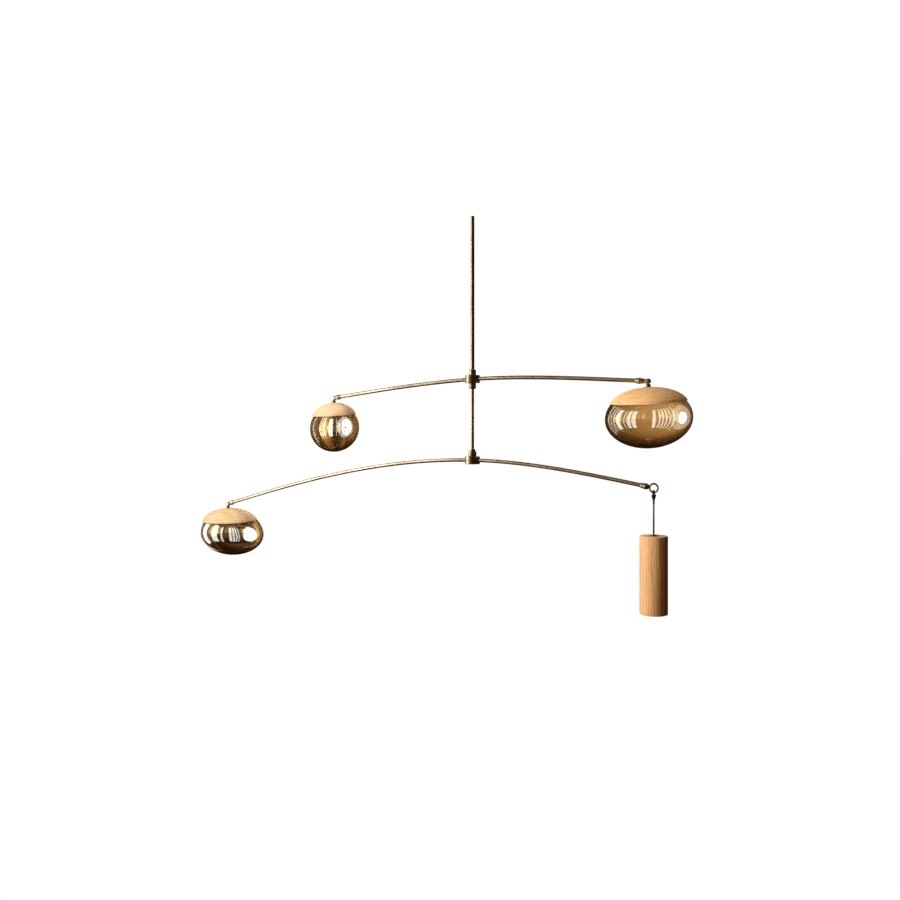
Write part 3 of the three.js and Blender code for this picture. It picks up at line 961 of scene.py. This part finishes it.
@dataclass
class Counterweight:
    """The ring on the arm's end, the hook and hanger through it, and the oak cylinder."""

    arm: BowedArm
    ring_radius: float = 11.8 * MM
    ring_bar: float = 2.7 * MM
    shank: float = 6 * MM
    hook_bar: float = 2 * MM
    eye_radius: float = 5.2 * MM
    eye_space: float = 3 * MM
    body_radius: float = 3.9 * MM
    body_length: float = 23 * MM
    collar_radius: float = 3.2 * MM
    collar_height: float = 3 * MM
    hanger_radius: float = 2.4 * MM
    hanger_seat: float = 25 * MM
    washer_radius: float = 11.4 * MM
    cylinder_radius: float = 38 * MM
    cylinder_edge: float = 1.4 * MM
    ring_sides: int = 96
    bar_sides: int = 24
    shank_sides: int = 32
    body_sides: int = 40
    eye_sides: int = 20
    eye_steps: int = 32

    def ring(self) -> None:
        """Builds the ring and its shank."""
        bar, sides = self.ring_bar, self.bar_sides
        distance = self.ring_radius + bar + CLEARANCE
        section = [
            (self.ring_radius + bar * cos(a), bar * sin(a))
            for a in (2 * pi * k / sides for k in range(sides))
        ]
        upright = Matrix.Translation((0, 0, -distance)) @ Matrix.Rotation(pi / 2, 4, "X")
        ring = turned(section, self.ring_sides, closed=True).moved(upright)
        shank = solid([(bar, self.ring_radius - distance), (bar, self.shank)], self.shank_sides)
        mesh = combined("ring", ring, joined=[shank])
        place = self.arm.end_frame() @ self.arm.along(0)
        dress("counterweight_ring", mesh, place, Finish.BRASS)

    def hook(self) -> float:
        """Builds the hook with its hanger.

        Returns:
            Where on X the hook hangs.
        """
        low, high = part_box("counterweight_hook")
        centre = Vector(((low.x + high.x) / 2, 0, high.z - self.eye_radius - self.hook_bar))
        top = self.eye_radius - self.hook_bar - CLEARANCE - 2 * self.ring_bar - self.eye_space
        end = top - self.body_length
        collar = end - self.collar_height
        bend = self.eye_radius
        path = [Vector((0, -bend, top - self.eye_space * k / 4)) for k in range(3, -1, -1)]
        for k in range(self.eye_steps + 1):
            angle = pi * k / self.eye_steps
            path.append(Vector((0, -bend * cos(angle), bend * sin(angle))))
        path += [Vector((0, bend, top - self.eye_space * k / 4)) for k in range(4)]
        wide = bend + 0.8 * self.hook_bar
        body = solid([
            (self.hanger_radius, low.z - centre.z),
            (self.hanger_radius, collar, 0.3 * MM),
            (self.collar_radius, collar + 0.8 * MM, 0.4 * MM),
            (self.collar_radius, end - 0.8 * MM, 0.4 * MM),
            (self.hanger_radius, end, 0.3 * MM),
            (self.body_radius, top - self.body_length / 2, 2 * MM),
            (wide, top - bend / 2, 1.2 * MM),
            (wide - 1 * MM, top, 0.8 * MM),
        ], self.body_sides)
        mesh = combined("hook", body, joined=[swept(path, self.hook_bar, self.eye_sides)])
        # The hook and hanger take the near-black copy of the brass, which paints shade on them.
        dress("counterweight_hook", mesh, Matrix.Translation(centre), Finish.BRONZE)
        return centre.x

    def build(self) -> None:
        """Builds the ring, the hook, the washer and the cylinder."""
        self.ring()
        across = self.hook()
        low, high = (corner.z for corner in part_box("counterweight_washer"))
        bore = self.hanger_radius + CLEARANCE
        rim = self.washer_radius
        section = eased([(bore, low), (rim, low, 0.3 * MM), (rim, high, 0.3 * MM), (bore, high)])
        mesh = turned(section, closed=True).mesh("washer")
        place = Matrix.Translation((across, 0, 0))
        # The washer takes the near-black copy of the brass, which paints shade on it.
        dress("counterweight_washer", mesh, place, Finish.BRONZE)

        low, high = (corner.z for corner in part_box("counterweight"))
        radius = self.cylinder_radius * INSET
        floor = high - self.hanger_seat - CLEARANCE
        cylinder = solid([
            (radius, low, self.cylinder_edge),
            (radius, high, self.cylinder_edge),
            (bore, high, 0.3 * MM),
            (bore, floor),
        ], SHADE_SIDES)
        dress("counterweight", cylinder.mesh("cylinder"), place, Finish.WEIGHT_OAK)


# The studio: the lights' colours, how far off they stand, and where the left shades are on X

COOL = (0.95, 1.0, 1.06)
WARM = (1.0, 0.97, 0.92)
PALE = (0.9, 1.0, 1.18)
REACH = 3.2
WINDOW_REACH = 3.4
BAY_REACH = 7.6
UPPER_LEFT = -0.6
LOWER_LEFT = -1.12

# Tall windows round each shade: turn from the camera and width in degrees, and radiance
RIGHT_WINDOWS = (
    (-145, 5, 1.8), (-128, 4, 2.0), (-115, 4, 2.0), (-95, 16, 3.0), (-73, 4, 2.0), (-58, 11, 2.8),
    (-43, 13, 2.8), (9, 8, 2.6), (21, 4, 2.2), (29, 4, 2.2), (37, 3.5, 2.4), (45, 3, 2.6), (55, 3, 2.6),
)
UPPER_LEFT_WINDOWS = (
    (-112, 8, 1.6), (-66, 5, 2.6), (-54, 4, 2.6), (-42, 5, 3.0), (-12, 20, 4.4), (18, 3, 2.4),
)
LOWER_LEFT_WINDOWS = (
    (-146, 10, 1.3), (-103, 26, 3.5), (-54, 25, 3.6), (-24, 7, 3.4), (8, 9, 3.5), (20, 7, 3.3), (30, 5, 3.2),
    (39, 4, 3.0),
)

# The room that is seen through the glass, by height and by how far round from behind the object,
# and the dimmer room that the other finishes pick up
ROOM_HEIGHT = (
    (0.0, (0.05, 0.04, 0.03)), (0.36, (0.12, 0.09, 0.06)), (0.46, (0.7, 0.65, 0.58)),
    (0.6, (1.0, 0.98, 0.94)), (1.0, (0.8, 0.78, 0.75)),
)
ROOM_WALL = (
    (0.0, (0.5, 0.42, 0.3)), (0.6, (0.45, 0.36, 0.24)), (0.76, (0.03, 0.02, 0.012)),
    (0.85, (0.035, 0.024, 0.014)), (0.857, (0.95, 0.66, 0.4)), (0.862, (0.8, 0.53, 0.3)),
    (0.866, (0.08, 0.055, 0.03)), (0.8745, (0.06, 0.042, 0.022)), (0.8775, (0.8, 0.55, 0.3)),
    (0.883, (0.05, 0.035, 0.02)), (0.951, (0.25, 0.17, 0.08)), (0.957, (0.4, 0.28, 0.14)),
    (0.962, (0.64, 0.48, 0.28)), (0.97, (0.62, 0.48, 0.3)), (0.985, (0.4, 0.28, 0.15)),
)
DIM_ROOM = ((0.0, (0.01, 0.006, 0.003)), (0.5, (0.02, 0.011, 0.005)), (1.0, (0.035, 0.026, 0.018)))


class Lit(Enum):
    """The pieces that a light shines on: their slots, and what their nodes' names start with."""

    OAK = ((Slot.CAP_OAK, Slot.COUNTERWEIGHT_OAK), ("",))
    NEAR_OAK = ((Slot.CAP_OAK, Slot.COUNTERWEIGHT_OAK), ("upper_right", "counterweight"))
    FAR_OAK = ((Slot.CAP_OAK,), ("upper_left", "lower_left"))
    BRASS = ((Slot.AGED_BRASS,), ("",))
    NEAR_BRASS = (
        (Slot.AGED_BRASS,),
        ("stem", "upper_hub", "lower_hub", "drop_rod", "upper_right", "lower_right", "counterweight"),
    )
    FAR_BRASS = ((Slot.AGED_BRASS,), ("upper_left", "lower_left"))
    NEAR_GLASS = ((Slot.AMBER_GLASS,), ("upper_right",))
    UPPER_LEFT_GLASS = ((Slot.AMBER_GLASS,), ("upper_left",))
    LOWER_LEFT_GLASS = ((Slot.AMBER_GLASS,), ("lower_left",))

    def takes(self, piece: Object) -> bool:
        """Tells whether the light shines on a piece.

        Args:
            piece: any object of the scene.

        Returns:
            Whether it does.
        """
        slots, starts = self.value
        if not piece.name.endswith("_finished"):
            return False
        return piece.name.startswith(starts) and Slot(piece["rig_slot"]) in slots


def around(turn: float, reach: float = REACH) -> Point2:
    """Returns how far right and toward the camera a light stands, by its turn in degrees and reach."""
    angle = radians(turn)
    return reach * sin(angle), reach * cos(angle)


@dataclass(frozen=True)
class Pane:
    """One soft light, as far right of what it lights, toward the camera and up as it stands."""

    name: str
    spot: Point2
    up: float
    width: float
    height: float
    radiance: float
    colour: Colour
    lit: Lit
    shape: str = "RECTANGLE"
    about: float = 0.0


@dataclass
class Studio:
    """A pale floor, soft lights and the camera at the photographed angle."""

    azimuth: float = radians(35)
    distance: float = 2.7125
    sideways: float = -0.06975
    height: float = -0.6625
    lens: float = 35.0
    sensor: float = 36.0
    shift_up: float = -20 / 900
    floor_height: float = -2.3
    floor_size: float = 60.0
    surround: float = 1.6
    backdrop: float = 1.05
    room_turn: float = 0.7
    lit: dict[Lit, Collection] = field(default_factory=dict)

    @property
    def right(self) -> Vector:
        """The direction that points to the right of the picture."""
        return Vector((cos(self.azimuth), sin(self.azimuth), 0))

    @property
    def toward(self) -> Vector:
        """The direction from the object to the camera."""
        return Vector((sin(self.azimuth), -cos(self.azimuth), 0))

    def camera(self) -> None:
        """Sets up the camera."""
        data = bpy.data.cameras.new("camera")
        data.lens, data.sensor_width = self.lens, self.sensor
        data.sensor_fit = "HORIZONTAL"
        data.shift_y = self.shift_up
        data.clip_start, data.clip_end = 0.05, 100
        camera = added("camera", data)
        spot = self.toward * self.distance + self.right * self.sideways
        camera.location = (spot.x, spot.y, self.height)
        camera.rotation_euler = (pi / 2, 0, self.azimuth)
        bpy.context.scene.camera = camera

    def pane(self, pane: Pane) -> None:
        """Adds one soft light, aimed at what it stands around.

        Args:
            pane: the light.
        """
        middle = Vector((pane.about, 0, self.height))
        data = bpy.data.lights.new(pane.name, "AREA")
        data.shape, data.size, data.size_y = pane.shape, pane.width, pane.height
        area = pane.width * pane.height * (pi / 4 if pane.shape == "ELLIPSE" else 1)
        data.energy = pane.radiance * pi * area
        data.color = pane.colour
        right, toward = pane.spot
        lamp = added(pane.name, data)
        lamp.location = middle + self.right * right + self.toward * toward + Vector((0, 0, pane.up))
        lamp.rotation_euler = (middle - lamp.location).to_track_quat("-Z", "Y").to_euler()
        lamp.visible_camera = False
        lamp.light_linking.receiver_collection = self.lit[pane.lit]

    def windows(
        self, name: str, panes: Sequence[Triple], lit: Lit, up: float, height: float, about: float
    ) -> None:
        """Stands a ring of tall windows around some of the glass.

        Args:
            name: what each window's name starts with.
            panes: each window's direction and width in degrees, and its radiance.
            lit: the glass that they shine on.
            up: how far their middle is above the camera.
            height: how tall they are.
            about: where on X the ring's middle is.
        """
        for number, (turn, spread, radiance) in enumerate(panes):
            width = 2 * WINDOW_REACH * tan(radians(spread / 2))
            spot = around(turn, WINDOW_REACH)
            self.pane(Pane(f"{name}_{number}", spot, up, width, height, radiance, COOL, lit, about=about))

    def world(self) -> None:
        """Sets a white surround for the camera and a dim warm one for the object."""
        world = bpy.data.worlds.new("studio")
        bpy.context.scene.world = world
        world.use_nodes = True
        graph = Graph(world.node_tree)
        path = graph.add("ShaderNodeLightPath")
        white = graph.add("ShaderNodeBackground", Color=(1, 1, 1, 1), Strength=self.backdrop)
        direction = graph.add("ShaderNodeTexCoord").outputs["Generated"]
        split = graph.add("ShaderNodeSeparateXYZ", Vector=direction)
        level = graph.spread(split.outputs["Z"], 0.0, 1.0, start=-1.0)
        facing = graph.add("ShaderNodeVectorMath", operation="DOT_PRODUCT")
        facing.inputs[1].default_value = (self.right * self.room_turn - self.toward).normalized()
        graph.join(direction, facing.inputs[0])
        aim = graph.spread(facing.outputs["Value"], 0.0, 1.0, start=-1.0)
        walls = graph.mix("MULTIPLY", 1.0, graph.ramp(level, ROOM_HEIGHT), graph.ramp(aim, ROOM_WALL))
        room = graph.add("ShaderNodeBackground", Color=walls, Strength=self.surround)
        dim = graph.add("ShaderNodeBackground", Color=graph.ramp(level, DIM_ROOM), Strength=self.surround)
        through = graph.choose(path.outputs["Is Transmission Ray"], dim, room)
        seen = graph.choose(path.outputs["Is Camera Ray"], through, white)
        graph.surface(seen, "ShaderNodeOutputWorld")

    def floor(self) -> None:
        """Adds the pale floor, which the object's own gloss doesn't pick up."""
        corners = [Vector((x, y, 0)) * self.floor_size for x, y in ((-1, -1), (1, -1), (1, 1), (-1, 1))]
        mesh = Shell(corners, [(0, 1, 2, 3)]).mesh("floor")
        material, graph = blank("floor_paint")
        patches = graph.noise(graph.add("ShaderNodeTexCoord").outputs["Object"], 1.5, 3)
        tone = graph.ramp(patches, [(0.3, (0.9, 0.9, 0.89)), (0.7, (0.93, 0.93, 0.925))])
        graph.surface(graph.add(
            "ShaderNodeBsdfPrincipled", Base_Color=tone, Roughness=0.9, Emission_Color=(1, 1, 1, 1),
            Emission_Strength=1.0,
        ))
        mesh.materials.append(material)
        floor = added("floor", mesh)
        floor.location.z = self.floor_height
        floor.visible_diffuse = floor.visible_glossy = floor.visible_transmission = False

    def build(self) -> None:
        """Builds the whole studio."""
        for lit in Lit:
            self.lit[lit] = bpy.data.collections.new(lit.name.lower())
            for piece in filter(lit.takes, bpy.data.objects):
                self.lit[lit].objects.link(piece)
        self.camera()
        self.world()
        self.floor()
        for pane in (
            Pane("oak_key", around(-68), 0.6, 1.3, 2.2, 18.0, (0.97, 1.0, 1.0), Lit.NEAR_OAK),
            Pane("oak_fill", around(-34), 0.3, 1.6, 2.0, 2.2, (1.0, 0.42, 0.08), Lit.NEAR_OAK),
            Pane("oak_over", (-0.4, 0.6), 2.5, 2.0, 1.4, 4.2, (1.0, 0.95, 0.88), Lit.NEAR_OAK),
            Pane("far_oak_key", around(-60), 0.8, 2.4, 2.4, 8.0, PALE, Lit.FAR_OAK),
            Pane("far_oak_over", (-0.4, 0.6), 2.5, 2.4, 2.4, 4.8, PALE, Lit.FAR_OAK),
            Pane("oak_back", around(180), 0.6, 2.0, 2.0, 5.0, (1.0, 0.9, 0.78), Lit.OAK),
            Pane("brass_key", around(-90, 3.0), 0.3, 1.4, 3.4, 8.0, WARM, Lit.NEAR_BRASS),
            Pane("far_brass_key", (-1.85, 0.3), 0.3, 1.2, 3.0, 8.0, COOL, Lit.FAR_BRASS, about=-0.8),
            Pane("brass_side", around(-55), 0.3, 1.8, 2.6, 0.6, WARM, Lit.BRASS),
            Pane("brass_over", (0.0, 0.4), 2.6, 2.4, 1.4, 0.8, WARM, Lit.BRASS),
            Pane("brass_back", around(180), 0.6, 2.4, 2.4, 2.5, WARM, Lit.BRASS),
        ):
            self.pane(pane)
        self.windows("right_window", RIGHT_WINDOWS, Lit.NEAR_GLASS, 0.1, 5.6, 0.0)
        self.windows("upper_left_window", UPPER_LEFT_WINDOWS, Lit.UPPER_LEFT_GLASS, 0.0, 6.0, UPPER_LEFT)
        self.windows("lower_left_window", LOWER_LEFT_WINDOWS, Lit.LOWER_LEFT_GLASS, 0.0, 6.0, LOWER_LEFT)
        for name, turn, reach, width, height, radiance, lit, about in (
            ("right_bay", 80, WINDOW_REACH, 1.7, 2.0, 5.0, Lit.NEAR_GLASS, 0.0),
            ("right_bay_frame", 80, WINDOW_REACH, 4.6, 4.6, 0.8, Lit.NEAR_GLASS, 0.0),
            ("upper_left_bay", 66, WINDOW_REACH, 3.2, 4.6, 5.0, Lit.UPPER_LEFT_GLASS, UPPER_LEFT),
            ("upper_left_bay_frame", 60, WINDOW_REACH, 5.6, 6.6, 1.8, Lit.UPPER_LEFT_GLASS, UPPER_LEFT),
            ("lower_left_bay", 84, BAY_REACH, 9.4, 11.2, 5.5, Lit.LOWER_LEFT_GLASS, LOWER_LEFT),
        ):
            spot = around(turn, reach)
            self.pane(Pane(name, spot, 0.1, width, height, radiance, COOL, lit, "ELLIPSE", about))
        scene = bpy.context.scene
        scene.view_settings.view_transform = "Standard"
        scene.view_settings.look = "None"


def main() -> None:
    """Builds the object and the studio, piece by piece."""
    logging.basicConfig(level=logging.INFO, format="%(message)s")
    knuckle = Knuckle()
    upper, lower = -505 * MM, -756 * MM
    shaded = (knuckle.length, 25 * MM, 14.5 * MM)
    hooked = (0, 22.5 * MM, 7.5 * MM)
    # name, side, hub height, reach, fall, rise at the root, fall at the end, radius and the end's fittings
    upper_right = BowedArm("upper_right", 1, upper, 573 * MM, 24.5 * MM, 0.024, 0.075, 6 * MM, *shaded)
    upper_left = BowedArm("upper_left", -1, upper, 580 * MM, 46.5 * MM, -0.032, 0.108, 6 * MM, *shaded)
    lower_left = BowedArm("lower_left", -1, lower, 1126 * MM, 190.5 * MM, 0, 0.261, 5.75 * MM, *shaded)
    lower_right = BowedArm("lower_right", 1, lower, 575 * MM, 61.5 * MM, 0, 0.17, 5.75 * MM, *hooked)
    Spine().build([upper_right, upper_left], [lower_left, lower_right])
    # radius, crown, belly, equator's depth, cap's height, roll in degrees and lean
    shades = [
        (upper_right, Shade(118.8 * MM, 85.5 * MM, 82 * MM, 85.7 * MM, 40.3 * MM, 6.5, -0.03, 0)),
        (upper_left, Shade(85.7 * MM, 86 * MM, 82 * MM, 89.7 * MM, 42.8 * MM, 5.5, -0.04, 0)),
        (lower_left, Shade(117.6 * MM, 95 * MM, 80.7 * MM, 98.6 * MM, 47 * MM, 2, 0.092, 0.105)),
    ]
    for arm, shade in shades:
        arm.build()
        rolled = arm.end_frame() @ Matrix.Rotation(arm.side * radians(shade.roll), 4, "X")
        knuckle.build(arm, rolled)
        shade.build(arm, rolled, knuckle.neck_drop)
    lower_right.build()
    Counterweight(lower_right).build()
    Studio().build()


if __name__ == "__main__":
    main()
